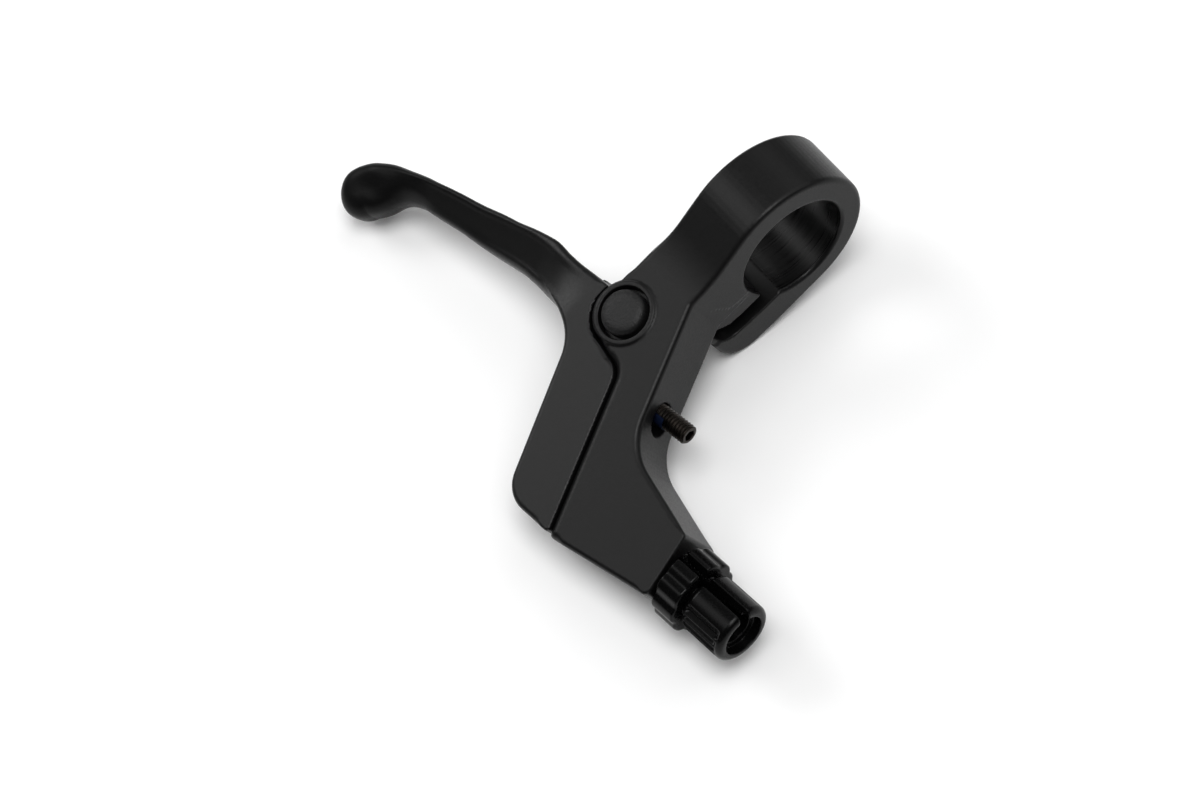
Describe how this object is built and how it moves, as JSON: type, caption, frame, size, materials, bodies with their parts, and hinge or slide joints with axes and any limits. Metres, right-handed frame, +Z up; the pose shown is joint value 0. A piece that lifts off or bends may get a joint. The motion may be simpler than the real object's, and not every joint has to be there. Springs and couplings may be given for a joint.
{
  "type": "bicycle brake lever",
  "caption": "Short two-piece cable brake lever: a bar clamp bracket, a hooked blade on a sprung pivot, a slotted barrel adjuster and a reach screw.",
  "frame": {"origin": "on the axis of the handlebar clamp's bore, half a millimetre from the middle of its width", "axes": "+X along the handlebar's axis, towards the cable's side; +Z straight up when the lever lies on its clamp tail and the lower edge of its cable arm"},
  "size_m": [0.1301, 0.0844, 0.0366],
  "materials": {
    "bracket_alloy": "satin black coating",
    "lever_alloy": "satin black coating",
    "pin_steel": "matte black coating",
    "oxide_steel": "black oxide",
    "plain_steel": "zinc plated",
    "bronze": "sintered",
    "brass": "turned",
    "nylon": "smooth",
    "gloss_black": "glossy",
    "thread_lock": "matte"
  },
  "bodies": {
    "bracket": {"bracket_body": "bracket_alloy", "pivot_pin": "pin_steel", "pivot_screw": "oxide_steel", "pivot_screw_washer": "plain_steel", "upper_thrust_washer": "nylon", "lower_thrust_washer": "nylon", "return_spring": "plain_steel", "clamp_bolt": "oxide_steel", "clamp_washer": "plain_steel"},
    "lever": {"lever_blade": "lever_alloy", "pivot_bush": "bronze"},
    "anchor": {"cable_anchor": "brass", "anchor_clip": "plain_steel"},
    "barrel": {"adjuster_barrel": "gloss_black"},
    "lock_ring": {"adjuster_lock_ring": "gloss_black"},
    "reach": {"reach_screw": "oxide_steel", "reach_screw_patch": "thread_lock"}
  },
  "joints": [
    {"name": "lever_pivot", "type": "hinge", "parent": "bracket", "child": "lever", "pos_m": [-0.00175, -0.03004, -0.00279], "axis": [0, 0.2756, -0.9613], "range_deg": [0, 22], "stiffness_Nm_per_rad": 0.08, "springref_deg": -51.57, "deforming": ["return_spring"]},
    {"name": "anchor_swivel", "type": "hinge", "parent": "lever", "child": "anchor", "pos_m": [0.0096, -0.05764, -0.01159], "axis": [0, 0.2756, -0.9613], "range_deg": [-22, 0]},
    {"name": "adjuster_turn", "type": "hinge", "parent": "bracket", "child": "barrel", "pos_m": [0.0413, -0.05461, -0.00983], "axis": [0.9943, 0.1021, 0.0293], "continuous": true},
    {"name": "lock_ring_turn", "type": "hinge", "parent": "bracket", "child": "lock_ring", "pos_m": [0.0413, -0.05461, -0.00983], "axis": [0.9943, 0.1021, 0.0293], "continuous": true},
    {"name": "reach_travel", "type": "slide", "parent": "bracket", "child": "reach", "axis": [0.9877, 0.1504, 0.0431], "range_m": [0, 0.003]}
  ],
  "couplings": [
    {"joint": "anchor_swivel", "follows": "lever_pivot", "ratio": -1}
  ]
}
